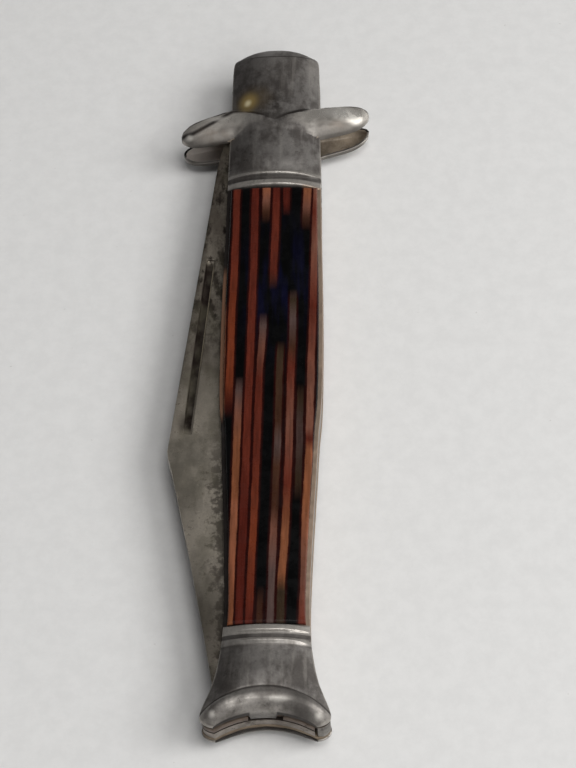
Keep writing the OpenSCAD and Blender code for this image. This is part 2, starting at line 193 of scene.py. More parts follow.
# where the guard's crest lies and how high it stands, by the distance from the middle
crest_place = curve([(0, 45.9), (2.4, 46.9), (5, 47.9), (7.5, 48.38)])
crest_height = curve([(0, 1.9), (2.4, 2.25), (5, 1.9), (7.5, 1.75), (10, 1.75), (12.5, 1.65),
                      (14, 1.4), (15, 1.0), (15.6, 0.55), (15.9, 0.1)])
RIM_WALL, SLOPE_FALL, BLEND = 0.45, 0.48, 0.8
CREST_OUT_FROM, CREST_SHARE, CREST_ROLL = 7.5, 0.84, 1.1
print("the cap's arch is", round(dome_height(55), 2), "mm high")


# %% The dome, the wings, and the two together
def dome(x, v):
    """The arch of the body, cut down by the sloping crescent at the end of the cap"""
    cut = (SLOPE_FALL * (v - SLOPE_FROM + (row_sag(v) + CAP_SAG) * (1 - (x / half_width(v)) ** 2))
           if v > SLOPE_FROM else 0)
    full = max(0, dome_height(v) - RIM_WALL) * (1 - min(1, abs(x) / body_width(v)) ** fullness(v))
    return max(0, full - cut)


def wing_lines(a, v):
    """The upper edge, lower edge and crest of a wing at a distance from the centre"""
    share = clip((a - body_width(v)) / (GUARD_HALF - body_width(v)))
    high, low = wing_top(share), wing_bottom(share)
    return high, low, crest_place(a) if a < CREST_OUT_FROM else low + CREST_SHARE * (high - low)


def round_up(share):
    """A quarter circle: steep at 0 and level at 1"""
    return math.sqrt(1 - (1 - clip(share)) ** 2)


def wing(a, v):
    """The height of the guard, rounded over its crest"""
    if not GUARD_LOW < v < GUARD_HIGH:
        return 0
    high, low, crest = wing_lines(a, v)
    roll = max(0.1, min(CREST_ROLL, high - crest))
    return crest_height(a) * (round_up(1 - (v - crest) / roll) if v > crest
                              else round_up((v - low) / max(0.1, crest - low)))


def shell_top(x, v):
    """The higher of dome and wing, with a soft fillet where they meet"""
    a, b = dome(x, v), wing(abs(x), v)
    k = max(0.0001, min(BLEND, a, b))
    h = max(0, k - abs(a - b)) / k
    return RIM_WALL + max(a, b) + h * h * k / 4


print("cap stands", round(shell_top(0, 55), 2), "mm over its edge, the lip",
      round(shell_top(0, -62.5), 2))

# %% [markdown]
# ## From a flat grid to a shell
# A grid from bmesh.ops.create_grid has neat rows and columns. Moving each vertex to its place on
# the dome keeps them neat, and lets the rows crowd together where the small bands need them.
# The outermost ring drops straight to the shell's edge, and Solidify gives the sheet its
# thickness. The rear shell is the same stamping turned over, with its wings a little nearer the
# cap, as the photograph shows them. Two numbers are stored at each vertex for the finish: how
# worn it is, which also carries a painted highlight on the right rims, and how dark it is, from
# dirt and from painted shade.

# %% Where the rows and columns of the grid go
ROW_RUNS = [(CAP_END, 61.32, 15), (61.32, 61.24, 4), (61.24, 60.3, 6), (60.3, 59.2, 4),
            (59.2, 50, 14), (50, GUARD_HIGH, 5), (GUARD_HIGH, 49.19, 5), (49.19, 47, 34),
            (47, 44, 26), (44, 43.5, 10), (43.5, GUARD_LOW, 5), (GUARD_LOW, 42.5, 4),
            (42.5, 35.6, 16), (35.6, 32.2, 44), (32.2, -48.0, 46), (-48.0, -48.4, 6),
            (-48.4, -51.8, 40), (-51.8, -61.7, 26), (-61.7, -62.6, 22), (-62.6, TAIL_END, 24)]
EDGE_STEPS = [0, 0, 0.02, 0.07, 0.15]
EDGE_COLUMNS, MIDDLE_COLUMNS, INNER_SHARE = 22, 42, 0.84


def spread_rows(runs):
    """Runs of (from, to, steps), with the first and last rows doubled for the walls"""
    rows = [a + (b - a) * i / n for a, b, n in runs for i in range(n)] + [runs[-1][1]]
    start, end = rows[0], rows[-1]
    return [start, start, start - 0.004] + rows[1:-1] + [end + 0.004, end, end]


def column_places(w, inner):
    """Close together at the edges, even between -inner and inner"""
    last = EDGE_STEPS[-1]
    count = EDGE_COLUMNS - len(EDGE_STEPS)
    side = [w - s for s in EDGE_STEPS]
    side += [w - last - (w - last - inner) * (i + 1) / (count + 1) for i in range(count)]
    middle = [inner * (1 - 2 * i / MIDDLE_COLUMNS) for i in range(MIDDLE_COLUMNS + 1)]
    return side + middle + [-x for x in reversed(side)]


SHELL_ROWS = spread_rows(ROW_RUNS)
print("rows:", len(SHELL_ROWS), "columns:", len(column_places(8, 8 * INNER_SHARE)))


# %% Bend a grid into place
def mesh_object(name, bm):
    mesh = bpy.data.meshes.new(name)
    bm.to_mesh(mesh)
    bm.free()
    return in_scene(name, mesh)


def bent_grid(name, rows, columns, place, marks=None):
    """A grid whose vertex in row i and column j goes to place(i, j); marks gives its two numbers"""
    bm = bmesh.new()
    bmesh.ops.create_grid(bm, x_segments=columns - 1, y_segments=rows - 1, size=1)
    wear_and_sheen = bm.verts.layers.float.new("wear_and_sheen")
    dirt_and_shade = bm.verts.layers.float.new("dirt_and_shade")
    for vert in bm.verts:
        j = round((1 - vert.co.x) / 2 * (columns - 1))
        i = round((1 - vert.co.y) / 2 * (rows - 1))
        if marks:
            vert[wear_and_sheen], vert[dirt_and_shade] = marks(i, j)
        vert.co = Vector(place(i, j)) * MM
    return mesh_object(name, bm)


def smooth_faces(piece, angle=38):
    piece.data.shade_smooth()
    piece.data.set_sharp_from_angle(angle=math.radians(angle))


def give_thickness(piece, thick, inside=0):
    sheet = piece.modifiers.new("sheet", "SOLIDIFY")
    sheet.thickness = thick * MM
    sheet.offset = -1
    sheet.use_quality_normals = True
    sheet.material_offset = inside

# %% How worn and how dirty each place along the handle is, and where it is painted in shade
worn_along = curve([
    (61.6, 0.4), (61.57, 0.1), (61.24, 0.1), (50, 0.05), (36, 0.1), (35.4, 0.3), (35.15, 0.45),
    (34.75, 0.45), (34.5, 0.1), (33.75, 0.1), (33.55, 0.3), (33.3, 0.75), (32.75, 0.7),
    (32.6, 0.4), (32.3, 0.2), (0, 0.3), (-48, 0.3), (-48.3, 0.4), (-48.5, 0.6), (-49.6, 0.5),
    (-49.7, 0.1), (-50.3, 0.1), (-50.6, 0.35), (-51.2, 0.35), (-51.6, 0.1), (-61.6, 0.1),
    (-61.95, 0.15), (-62.15, 0.25), (-62.8, 0.3), (-63.5, 0.25)])
# the first two pairs below are painted shade on the sloping crescent at the cap's end
dirt_and_shade_along = curve([
    (61.6, 0.3), (61.35, 0.4), (61.3, 0.9), (61.15, 0.16), (50.2, 0.16), (49.4, 0), (36, 0),
    (35.4, 0.15), (35.1, 0), (34.7, 0), (34.45, 0.6), (33.8, 0.6), (33.6, 0), (32.5, 0),
    (32.35, 0.9), (32.2, 1), (0, 0.4), (-48.05, 1), (-48.2, 0), (-49.6, 0), (-49.75, 0.6),
    (-50.2, 0.6), (-50.45, 0), (-51.3, 0), (-51.55, 0.5), (-52, 0), (-61.3, 0), (-61.8, 0.8),
    (-61.95, 0.6), (-62.1, 0), (-63.5, 0)])
print("dirt in the groove over the cover:", round(dirt_and_shade_along(32.3), 2))

# %% Marks of one place on a shell
PAN_LOW, PAN_HIGH = -48.2, 32.3
# the shell's margins beside the cover: a painted highlight on the right, dirt and painted shade on
# the left
SHEEN_RIM, DIRT_AND_SHADE_RIM = (0.75, 0.1), (0.0, 1.0)
NECK_HALF, LEFT_FROM, FOLD_OUT, FOLD_IN = 8.3, -4, -14, -7
LIP_SHADE_X, LIP_SHADE_HALF, RUBBED_EDGE = 5.1, 2.4, 0.35


def guard_marks(x, v, wear_and_sheen, dirt_and_shade):
    """Rubbed wings, with painted shade in a line above the crest and along a fold on the left"""
    high, low, crest = wing_lines(abs(x), v)
    stands_out = wing(abs(x), v) - dome(x, v)
    lobe = 1 if abs(x) > NECK_HALF else clip(stands_out / 0.5 + 0.3)
    wear_and_sheen = max(wear_and_sheen, 0.95 * lobe)
    # line is painted shade: above the crest, and on the left wing along its fold
    line = 1.25 - abs(stands_out) / 0.6 if v > crest else 0
    if abs(x) > NECK_HALF:
        line = max(line, 0.55 + (v - crest) / 0.35)
    if x < LEFT_FROM:
        share = 0.4 + 0.45 * clip((x - FOLD_OUT) / (FOLD_IN - FOLD_OUT))
        fold = share * high + (1 - share) * low
        line = max(line, 0.95 * lobe * (1.2 - abs(v - fold) / 0.55))
        # painted shade: the left wing, turned away from the window, is painted duller
        wear_and_sheen *= 0.8
    line = clip(line)
    below = clip((crest - 1.5 - v) / 1.6)
    return wear_and_sheen * (1 - 0.85 * line), max(dirt_and_shade, line, 0.75 * lobe * below)


def shell_marks(x, v):
    wear_and_sheen, dirt_and_shade = worn_along(v), dirt_and_shade_along(v)
    if PAN_LOW < v < PAN_HIGH:
        wear_and_sheen, dirt_and_shade = SHEEN_RIM if x > 0 else DIRT_AND_SHADE_RIM
    if in_guard(v):
        wear_and_sheen, dirt_and_shade = guard_marks(x, v, wear_and_sheen, dirt_and_shade)
    # painted shade on the lip, to the right of its middle
    if v < LIP_FROM:
        dirt_and_shade = max(dirt_and_shade, 0.68 * clip(1.3 - abs(x - LIP_SHADE_X) / LIP_SHADE_HALF))
    edge = max(0, 1 - (half_width(v) - abs(x)) / RUBBED_EDGE)
    return max(wear_and_sheen, 0.55 * edge * (1 - dirt_and_shade)), min(1, dirt_and_shade)


print("the guard's crest is", round(shell_marks(11, 46.5)[0], 2), "wear_and_sheen")

# %% Stamp a shell
SHEET = 0.4
SIDE_WALL, END_WALL = (0, 0.22, 0.41), (0, 0.5, 0.92)
TAB_CENTRE, TAB_HALF, TAB_DROP, TAB_LEAN = -0.3, 1.95, (1.0, 0.5, 0.08), (0.15, 0.08, 0.02)


def make_shell(name, edge_z, way, tab):
    """way is 1 for the front shell and -1 for the rear; tab drops a flap from the tail edge"""
    widths = [half_width(v) for v in SHELL_ROWS]
    places = [column_places(w, INNER_SHARE * body_width(v)) for w, v in zip(widths, SHELL_ROWS)]
    last_row, last_column = len(SHELL_ROWS) - 1, len(places[0]) - 1

    def place(i, j):
        v, w, x = SHELL_ROWS[i], widths[i], places[i][j]
        y = v + row_sag(v) * (1 - (x / w) ** 2)
        if in_guard(v):
            y += (math.copysign(GUARD_SWEEP, x) + (REAR_LIFT if way < 0 else 0)) * outward(abs(x))
        ring = min(i, last_row - i, j, last_column - j)
        z = SIDE_WALL[ring] if ring < 3 else shell_top(x, v)
        if min(i, last_row - i) < 3 <= min(j, last_column - j):
            z = shell_top(x, v) * END_WALL[ring]
        from_tail = last_row - i
        if from_tail < 3 and abs(x - TAB_CENTRE) < TAB_HALF:
            z -= tab * TAB_DROP[from_tail]
            y -= tab * TAB_LEAN[from_tail]
        return x, y, edge_z + way * z

    def marks(i, j):
        # the foot of the tail's end wall is painted dark, as painted shadow under the rim; the tab
        # is not
        if last_row - i < 2:
            on_tab = tab and abs(places[i][j] - TAB_CENTRE) < TAB_HALF
            return (0.1, 0.15) if on_tab else (0, 0.85)
        return shell_marks(places[i][j], SHELL_ROWS[i])

    shell = bent_grid(name, len(SHELL_ROWS), last_column + 1, place, marks)
    if way < 0:
        shell.data.flip_normals()
    smooth_faces(shell)
    give_thickness(shell, SHEET, inside=1)
    print(name, len(shell.data.polygons), "faces before its thickness")
    return shell

# %% The front and rear shells
FRONT_EDGE, REAR_EDGE = 7.45, 2.95
front_skin = make_shell("front_shell_skin", FRONT_EDGE, 1, 1)
rear_skin = make_shell("rear_shell_skin", REAR_EDGE, -1, 0)
for skin, node in ((front_skin, "front_shell"), (rear_skin, "rear_shell")):
    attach(skin, "handle")
    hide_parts(node)
print("the cap's top is", round(FRONT_EDGE + shell_top(0, 55), 2), "mm above the table")

# %% [markdown]
# ## The striped covers
# A cover is a thin sheet of glossy striped horn or plastic laid in the recess of its shell, with
# softly rounded edges. The same bent grid makes it, with its outermost columns and rows rolled
# down to the steel.

# %% Sizes of a cover
COVER_LOW, COVER_HIGH, LONG_ROWS, WIDE_COLUMNS = -48.0, 32.2, 96, 36
COVER_MARGIN, COVER_SHEET = 0.62, 0.2
PAN_HEIGHT, PAN_FALL, PAN_RUN, PAN_FULLNESS = 0.95, 0.05, 80, 2.4
ROW_STEPS, COLUMN_STEPS = [0, 0, 0.03, 0.1, 0.25, 0.5], [0, 0, 0.04, 0.12, 0.26, 0.5]
ROLL_DOWN = [0.02, 0.34, 0.47, 0.56, 0.62, 0.64]


def between_ends(high, low, count):
    return [high + (low - high) * i / count for i in range(1, count)]


COVER_ROWS = ([COVER_HIGH - s for s in ROW_STEPS]
              + between_ends(COVER_HIGH - ROW_STEPS[-1], COVER_LOW + ROW_STEPS[-1], LONG_ROWS)
              + [COVER_LOW + s for s in reversed(ROW_STEPS)])
print("a cover is", COVER_HIGH - COVER_LOW, "mm long, in", len(COVER_ROWS), "rows")


# %% Make the two covers
def make_cover(name, edge_z, way):
    def columns_of(v):
        side = [body_width(v) - COVER_MARGIN - s for s in COLUMN_STEPS]
        return (side + between_ends(side[-1], -side[-1], WIDE_COLUMNS)
                + [-x for x in reversed(side)])

    places = [columns_of(v) for v in COVER_ROWS]
    last_row, last_column = len(COVER_ROWS) - 1, len(places[0]) - 1

    def place(i, j):
        ring = min(i, last_row - i, j, last_column - j)
        x, v = places[i][j], COVER_ROWS[i]
        rise = PAN_HEIGHT - PAN_FALL * (COVER_HIGH - v) / PAN_RUN - RIM_WALL
        level = RIM_WALL + rise * (1 - (abs(x) / body_width(v)) ** PAN_FULLNESS)
        return x, v, edge_z + way * (level + ROLL_DOWN[min(ring, len(ROLL_DOWN) - 1)])

    cover = bent_grid(name, len(COVER_ROWS), last_column + 1, place)
    if way < 0:
        cover.data.flip_normals()
    smooth_faces(cover, 60)
    give_thickness(cover, COVER_SHEET)
    print(name, len(cover.data.polygons), "faces before its thickness")
    return cover


front_cover_skin = make_cover("front_cover_skin", FRONT_EDGE, 1)
rear_cover_skin = make_cover("rear_cover_skin", REAR_EDGE, -1)
for skin, node in ((front_cover_skin, "front_cover"), (rear_cover_skin, "rear_cover")):
    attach(skin, "handle")
    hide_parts(node)

# %% [markdown]
# ## Plates with broken edges
# The blade, liners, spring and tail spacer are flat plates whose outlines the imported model
# already has exactly. No real plate has a knife-sharp corner all round, and a rendered one looks
# false, so each is copied, its loose triangles are joined into whole faces, and a tiny bevel
# breaks every edge so that it catches a line of light. The tail spacer is copied twice and cut
# at two heights, because it looks like two strips, a brown one over a grey one, with a dark
# seam between them.


# %% Copy a plate and break its edges
def softened_copy(node, name, width, between=None):
    """between keeps only the layer of the plate between two heights"""
    bm = bmesh.new()
    bm.from_mesh(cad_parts[node].data)
    bm.transform(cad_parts[node].matrix_world)
    bmesh.ops.remove_doubles(bm, verts=bm.verts, dist=0.002 * MM)
    for height, way in zip(between or (), (-1, 1)):
        cut = bmesh.ops.bisect_plane(bm, geom=bm.verts[:] + bm.edges[:] + bm.faces[:],
                                     plane_co=(0, 0, height * MM), plane_no=(0, 0, way),
                                     clear_outer=True)["geom_cut"]
        bmesh.ops.triangle_fill(bm, edges=[e for e in cut if isinstance(e, bmesh.types.BMEdge)],
                                normal=(0, 0, way), use_beauty=True)
    bmesh.ops.dissolve_limit(bm, angle_limit=math.radians(1.2), verts=bm.verts, edges=bm.edges)
    sharp = [e for e in bm.edges if len(e.link_faces) == 2
             and e.calc_face_angle(0) > math.radians(25)]
    bmesh.ops.bevel(bm, geom=sharp, offset=width * MM, segments=2, profile=0.5,
                    affect="EDGES", material=-1, clamp_overlap=True)
    bmesh.ops.triangulate(bm, faces=[f for f in bm.faces if len(f.verts) > 4])
    piece = mesh_object(name, bm)
    smooth_faces(piece, 30)
    return piece

# %% Every plate, with its bevel, body, slot and the heights it is cut at
BELOW_SPACER, SEAM_LOW, SEAM_HIGH, ABOVE_SPACER = 3.7, 5.4, 5.52, 6.7
PLATES = [("blade", "blade_plate", 0.10, "blade", "blade_steel", None),
          ("front_liner", "front_liner_plate", 0.09, "handle", "liner_steel", None),
          ("rear_liner", "rear_liner_plate", 0.09, "handle", "liner_steel", None),
          ("back_spring", "back_spring_plate", 0.09, "handle", "spring_steel", None),
          ("tail_spacer", "tail_spacer_top", 0.12, "handle", "spacer_steel",
           (SEAM_HIGH, ABOVE_SPACER)),
          ("tail_spacer", "tail_spacer_bottom", 0.14, "handle", "spacer_steel",
           (BELOW_SPACER, SEAM_LOW))]
plates = {}
for node, name, width, body, slot, heights in PLATES:
    plates[name] = softened_copy(node, name, width, between=heights)
    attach(plates[name], body)
    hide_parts(node)
    print(name, len(plates[name].data.polygons), "faces")

# %% [markdown]
# ## Nodes with less typing
# Materials are built from nodes, and a node tree written out by hand is long. A small helper
# adds a node, sets its plain values and links its inputs, so each finish can be read as a list
# of steps. The same helper fills materials and node groups.


# %% A helper for building node trees
class Board:
    def __init__(self, tree):
        self.tree = tree

    def add(self, kind, inputs=None, **settings):
        node = self.tree.nodes.new(kind)
        for key, value in settings.items():
            setattr(node, key, value)
        for key, value in (inputs or {}).items():
            self.join(value, node, key)
        return node

    def join(self, value, node, key):
        """Link a socket to an input of a node, or set the input to a plain value"""
        if isinstance(value, bpy.types.NodeSocket):
            self.tree.links.new(value, node.inputs[key])
        else:
            node.inputs[key].default_value = value

    def maths(self, operation, a, b=0.0, clamp=False):
        return self.add("ShaderNodeMath", {0: a, 1: b}, operation=operation,
                        use_clamp=clamp).outputs[0]

    def product(self, first, *others):
        for other in others:
            first = self.maths("MULTIPLY", first, other)
        return first

    def mix(self, factor, a, b, blend="MIX"):
        return self.add("ShaderNodeMix", {0: factor, 6: a, 7: b}, data_type="RGBA",
                        blend_type=blend).outputs[2]

    def paint(self, under, colour, *masks):
        """Lay a colour over what is under it, as strong as its masks multiplied"""
        return self.mix(self.product(*masks), under, colour)

    def grey(self, value):
        return self.add("ShaderNodeCombineColor", {0: value, 1: value, 2: value}).outputs[0]

    def between(self, value, low, high, to_low=0.0, to_high=1.0, smooth=True):
        return self.add("ShaderNodeMapRange", {0: value, 1: low, 2: high, 3: to_low, 4: to_high},
                        interpolation_type="SMOOTHSTEP" if smooth else "LINEAR").outputs[0]

    def noise(self, vector, scale, detail=3.0, rough=0.55):
        return self.add("ShaderNodeTexNoise", {"Vector": vector, "Scale": scale, "Detail": detail,
                                               "Roughness": rough}).outputs["Fac"]

    def stretch(self, vector, factors, shift=(0, 0, 0)):
        scaled = self.add("ShaderNodeVectorMath", {0: vector, 1: factors}, operation="MULTIPLY")
        return self.add("ShaderNodeVectorMath", {0: scaled.outputs[0], 1: shift}).outputs[0]

    def split(self, vector):
        return self.add("ShaderNodeSeparateXYZ", {0: vector}).outputs

    def ramp(self, factor, stops):
        node = self.add("ShaderNodeValToRGB", {0: factor})
        elements = node.color_ramp.elements
        while len(elements) < len(stops):
            elements.new(0.5)
        for element, (position, colour) in zip(elements, sorted(stops, key=lambda s: s[0])):
            element.position = position
            element.color = colour
        return node.outputs["Color"], node.outputs["Alpha"]


# %% A colour as the screen shows it, and a new finish
def tone(*shades):
    """A colour as seen on a screen, 0 to 255, turned into light by the screen's own curve"""
    parts = [shade / 255 for shade in shades]
    return tuple(c / 12.92 if c <= 0.04045 else ((c + 0.055) / 1.055) ** 2.4
                 for c in parts) + (1,)


def new_finish(name, **constants):
    material = bpy.data.materials.new(name)
    material.use_nodes = True
    shader = material.node_tree.nodes["Principled BSDF"]
    for key, value in constants.items():
        shader.inputs[key.replace("_", " ")].default_value = value
    board = Board(material.node_tree)
    place = board.add("ShaderNodeTexCoord").outputs["Object"]
    return material, board, shader, board.stretch(place, (1 / MM,) * 3)


print("a mid grey of 128 is", round(tone(128, 128, 128)[0], 3), "in light")

# %% [markdown]
# ## Old steel, as one shared group
# Every steel piece here has the same history: it was bright, it went grey and brown, hands
# polished its high places again, dirt stayed in the low ones, and damp left pits. One node
# group mixes those layers, and each piece gives it its own colours and amounts. On the shells
# the wear layer also takes painted highlights, and on the shells and liners the dirt layer
# also takes painted shade.


# %% A helper for node groups
def make_group(name, inputs, outputs):
    tree = bpy.data.node_groups.new(name, "ShaderNodeTree")
    for label, kind in inputs:
        tree.interface.new_socket(name=label, in_out="INPUT", socket_type="NodeSocket" + kind)
    for label, kind in outputs:
        tree.interface.new_socket(name=label, in_out="OUTPUT", socket_type="NodeSocket" + kind)
    return tree, Board(tree), tree.nodes.new("NodeGroupInput"), tree.nodes.new("NodeGroupOutput")

# %% Build the old steel group
UNRUBBED_ROUGH = 0.47
old_steel, board, given, result = make_group(
    "old_steel",
    [("Place", "Vector"), ("Wear and sheen", "Float"), ("Dirt and shade", "Float"), ("Dark", "Color"),
     ("Grey", "Color"), ("Bright", "Color"), ("Soil", "Color"), ("Pitting", "Float"),
     ("Streaks", "Float"), ("Rubbed rough", "Float"), ("Dents", "Float")],
    [("Color", "Color"), ("Roughness", "Float"), ("Height", "Float")])
spot = given.outputs
clouds = board.noise(board.stretch(spot["Place"], (1, 0.6, 1)), 0.2, 4, 0.55)
mottle = board.noise(board.stretch(spot["Place"], (1, 0.7, 1), (9, 4, 2)), 0.7, 4, 0.6)
blend = board.maths("ADD", board.product(clouds, 0.55), board.product(mottle, 0.45))
patina = board.between(blend, 0.4, 0.6)
grain = board.noise(spot["Place"], 3.2, 4, 0.6)
streaks = board.noise(board.stretch(spot["Place"], (0.75, 0.07, 0.75)), 1.0, 4, 0.6)
rust_field = board.between(board.noise(spot["Place"], 0.22, 2, 0.5), 0.4, 0.62)
pitted = board.product(rust_field, spot["Pitting"])
pits = board.product(board.between(board.noise(spot["Place"], 1.1, 5, 0.7), 0.54, 0.68), pitted)
base = board.mix(patina, spot["Dark"], spot["Grey"])
base = board.paint(base, spot["Bright"], board.between(streaks, 0.5, 0.7), spot["Streaks"])
polished = board.maths("MULTIPLY", spot["Wear and sheen"], board.between(mottle, 0.25, 0.6, 0.72, 1.0),
                       clamp=True)
base = board.paint(base, spot["Bright"], polished)
grey_shift = board.between(grain, 0.3, 0.7, 0.9, 1.1, smooth=False)
base = board.mix(1.0, base, board.grey(grey_shift), blend="MULTIPLY")
soiled = board.product(spot["Dirt and shade"], board.between(mottle, 0.3, 0.6, 0.8, 1.0))
soiled = board.maths("MAXIMUM", soiled, pits, clamp=True)
base = board.paint(base, spot["Soil"], soiled)
rough = board.add("ShaderNodeMix", {0: board.product(polished, polished), 2: UNRUBBED_ROUGH,
                                    3: spot["Rubbed rough"]}).outputs[0]
rough = board.maths("ADD", rough, board.product(soiled, 0.3))
cloudy = board.product(board.maths("SUBTRACT", patina, 0.5), -0.08)
rough = board.maths("ADD", rough, cloudy, clamp=True)
dents = board.product(board.noise(spot["Place"], 0.3, 2, 0.5), spot["Dents"])
height = board.maths("ADD", board.product(grain, 0.12), board.product(mottle, 0.4))
height = board.maths("SUBTRACT", height, board.product(pits, 0.22))
height = board.maths("ADD", height, dents)
for label, value in (("Color", base), ("Roughness", rough), ("Height", height)):
    board.join(value, result, label)
print("old_steel has", len(old_steel.nodes), "nodes")


# %% Place the group in a steel finish
def steel_finish(name, dark, grey, bright, soil, pitting, streaks, bump, wear_and_sheen=None, dirt_and_shade=None,
                 metal=0.9, rubbed=0.26, dents=1.0):
    material, board, shader, in_mm = new_finish(name, Metallic=metal)
    steel = board.add("ShaderNodeGroup", node_tree=old_steel)
    values = {"Place": in_mm, "Dark": dark, "Grey": grey, "Bright": bright, "Soil": soil,
              "Pitting": pitting, "Streaks": streaks, "Rubbed rough": rubbed, "Dents": dents,
              "Wear and sheen": wear_and_sheen(board, in_mm) if wear_and_sheen else 0.3,
              "Dirt and shade": dirt_and_shade(board, in_mm) if dirt_and_shade else 0.0}
    for key, value in values.items():
        board.join(value, steel, key)
    relief = board.add("ShaderNodeBump", {"Strength": 1.0, "Distance": bump * MM,
                                          "Height": steel.outputs["Height"]})
    board.join(steel.outputs["Color"], shader, "Base Color")
    board.join(steel.outputs["Roughness"], shader, "Roughness")
    board.join(relief.outputs[0], shader, "Normal")
    return material, board, shader, in_mm, steel


def stored(mark):
    return lambda board, in_mm: board.add("ShaderNodeAttribute", attribute_name=mark).outputs["Fac"]


def dress(piece, *materials):
    piece.data.materials.clear()
    for material in materials:
        piece.data.materials.append(material)


print("old_steel takes", [item.name for item in old_steel.interface.items_tree
                          if item.in_out == "INPUT"])

# %% [markdown]
# ## The shells' finish
# The cap and tail are dull grey-brown with soft clouds and a few long streaks. The bands, the
# guard and the lip are rubbed bright, and the grooves between the bands are dark. Painted shade
# lies in a line above the crest of each wing, along a fold on the left one and over the rest of
# the left wing, on the sloping crescent at the cap's end, on the lip right of its middle and at
# the foot of the tail's end wall; the right rims carry a painted highlight, the left ones dirt
# and painted shade. All of that comes from the numbers stored on the mesh. The left flank, which
# turns away from the window, is painted duller still by its place, as painted shade. One spot
# beside the guard has worn through to a brassy yellow. That spot, a dark stain at the neck, brown
# patches on the wings and a few gleams of painted highlight are painted by their distance from a
# point, because a glint that is left to the lamps alone moves with every change of light. The
# right rim beside the cover carries a painted warm highlight, and part of the left one is tinted
# warm by its place. The hollow inside of a shell, which shows under the rear wings, was never
# polished: it is matt and brown, with painted light on the left side that makes it paler.


# %% Paint by distance from a point
def near(board, in_mm, centre, reach, squeeze):
    """1 at a point of the object and 0 further than reach from it"""
    offset = board.add("ShaderNodeVectorMath", {0: in_mm, 1: centre}, operation="SUBTRACT")
    squeezed = board.stretch(offset.outputs[0], squeeze)
    far = board.add("ShaderNodeVectorMath", {0: squeezed}, operation="LENGTH").outputs["Value"]
    return board.between(far, reach, reach * 0.1)


# each is a centre, a reach, a squeeze along x, y and z, a strength and, for brass, a colour
BRASS = [((-3.9, 50.8, 9.9), 4.6, (1, 1.1, 0.5), 0.7, tone(96, 80, 54)),
         ((-4.6, 50.4, 9.9), 2.4, (1, 0.8, 0.4), 0.8, tone(186, 160, 100)),
         ((-4.7, 50.2, 9.9), 0.9, (1, 0.8, 0.4), 1.0, tone(245, 232, 190))]
STAINS = [((10.8, 45.9, 9.0), 2.6, (0.6, 1.3, 0.3), 0.35),
          ((-10.4, 43.9, 9.0), 2.6, (0.6, 1.3, 0.3), 0.35)]
GLEAMS = [((13.3, 46.5, 8.9), 1.2, (0.6, 1, 0.4), 0.6),
          ((6.4, 44.6, 9.1), 1.5, (1, 0.7, 0.4), 0.15),
          ((10.2, 48.4, 8.9), 1.5, (0.35, 1.3, 0.4), 0.6),
          ((-14.5, 43.4, 8.7), 0.8, (0.8, 1, 0.4), 0.7),
          ((-7.2, 44.6, 9.1), 1.4, (1, 0.7, 0.4), 0.05),
          ((-10.6, 46.9, 9.0), 1.2, (0.3, 1.3, 0.4), 0.4),
          ((7.6, -62.8, 9.9), 0.9, (0.8, 1, 0.5), 0.75),
          ((-7.35, -62.3, 9.9), 0.8, (1, 1, 0.5), 0.9),
          ((1.9, -60.3, 10.2), 0.8, (0.3, 1.2, 0.5), 0.45),
          ((11.4, 47.6, 9.2), 2.4, (0.5, 1.5, 0.3), 0.9)]
print(len(BRASS) + len(STAINS) + len(GLEAMS), "painted spots")

# %% Steel of the shells
shell_steel, board, shader, in_mm, steel = steel_finish(
    "shell_steel", dark=tone(76, 71, 68), grey=tone(130, 126, 122), bright=tone(196, 190, 181),
    soil=tone(34, 28, 24), pitting=0.5, streaks=0.2, bump=0.04, wear_and_sheen=stored("wear_and_sheen"),
    dirt_and_shade=stored("dirt_and_shade"), metal=0.72, rubbed=0.2, dents=4.5)
across, forward = board.split(in_mm)[:2]
ragged = board.between(board.noise(in_mm, 0.5, 4, 0.65), 0.4, 0.58, 0.25, 1)
unworn = board.between(stored("wear_and_sheen")(board, in_mm), 0.5, 0.1)
# painted shade: the unworn steel turns darker toward the left, away from the window
left_flank_shade = board.between(across, 2, -7.5, 0, 0.5)
colour = board.paint(steel.outputs["Color"], tone(40, 35, 33), unworn, left_flank_shade)
neck = near(board, in_mm, (-0.2, 48.6, 10.2), 5.4, (1, 0.66, 0.3))
colour = board.paint(colour, tone(44, 38, 34), neck, ragged, 0.75)
# a painted warm highlight along the right rim beside the cover; part of the left rim is tinted warm
right_rim_sheen = board.product(board.between(across, 4.4, 5.0),
                          board.between(forward, COVER_HIGH + 0.6, COVER_HIGH),
                          board.between(forward, COVER_LOW - 0.3, COVER_LOW + 0.1))
left_rim = board.product(board.between(across, -7.15, -7.35), board.between(forward, 17, 14),
                         board.between(forward, -14, -11))
colour = board.paint(colour, tone(160, 136, 115), right_rim_sheen, 0.8)
colour = board.paint(colour, tone(150, 112, 88), left_rim, 0.85)
for centre, reach, squeeze, strength, shade in BRASS:
    colour = board.paint(colour, shade, near(board, in_mm, centre, reach, squeeze), strength)
for centre, reach, squeeze, strength in STAINS:
    patch = near(board, in_mm, centre, reach, squeeze)
    colour = board.paint(colour, tone(98, 86, 74), patch, ragged, strength)
for centre, reach, squeeze, strength in GLEAMS:
    gleam = near(board, in_mm, centre, reach, squeeze)
    flecked = board.between(ragged, 0, 1, 0.6 * strength, strength)
    colour = board.paint(colour, tone(236, 231, 222), gleam, flecked)
board.join(colour, shader, "Base Color")
print("shell_steel has", len(shell_steel.node_tree.nodes), "nodes")

# %% The hollow inside of the shells
shell_inside, board, shader, in_mm, steel = steel_finish(
    "shell_inside", dark=tone(110, 98, 84), grey=tone(162, 147, 130), bright=tone(196, 184, 166),
    soil=tone(56, 44, 36), pitting=0.6, streaks=0.0, bump=0.05, metal=0.2)
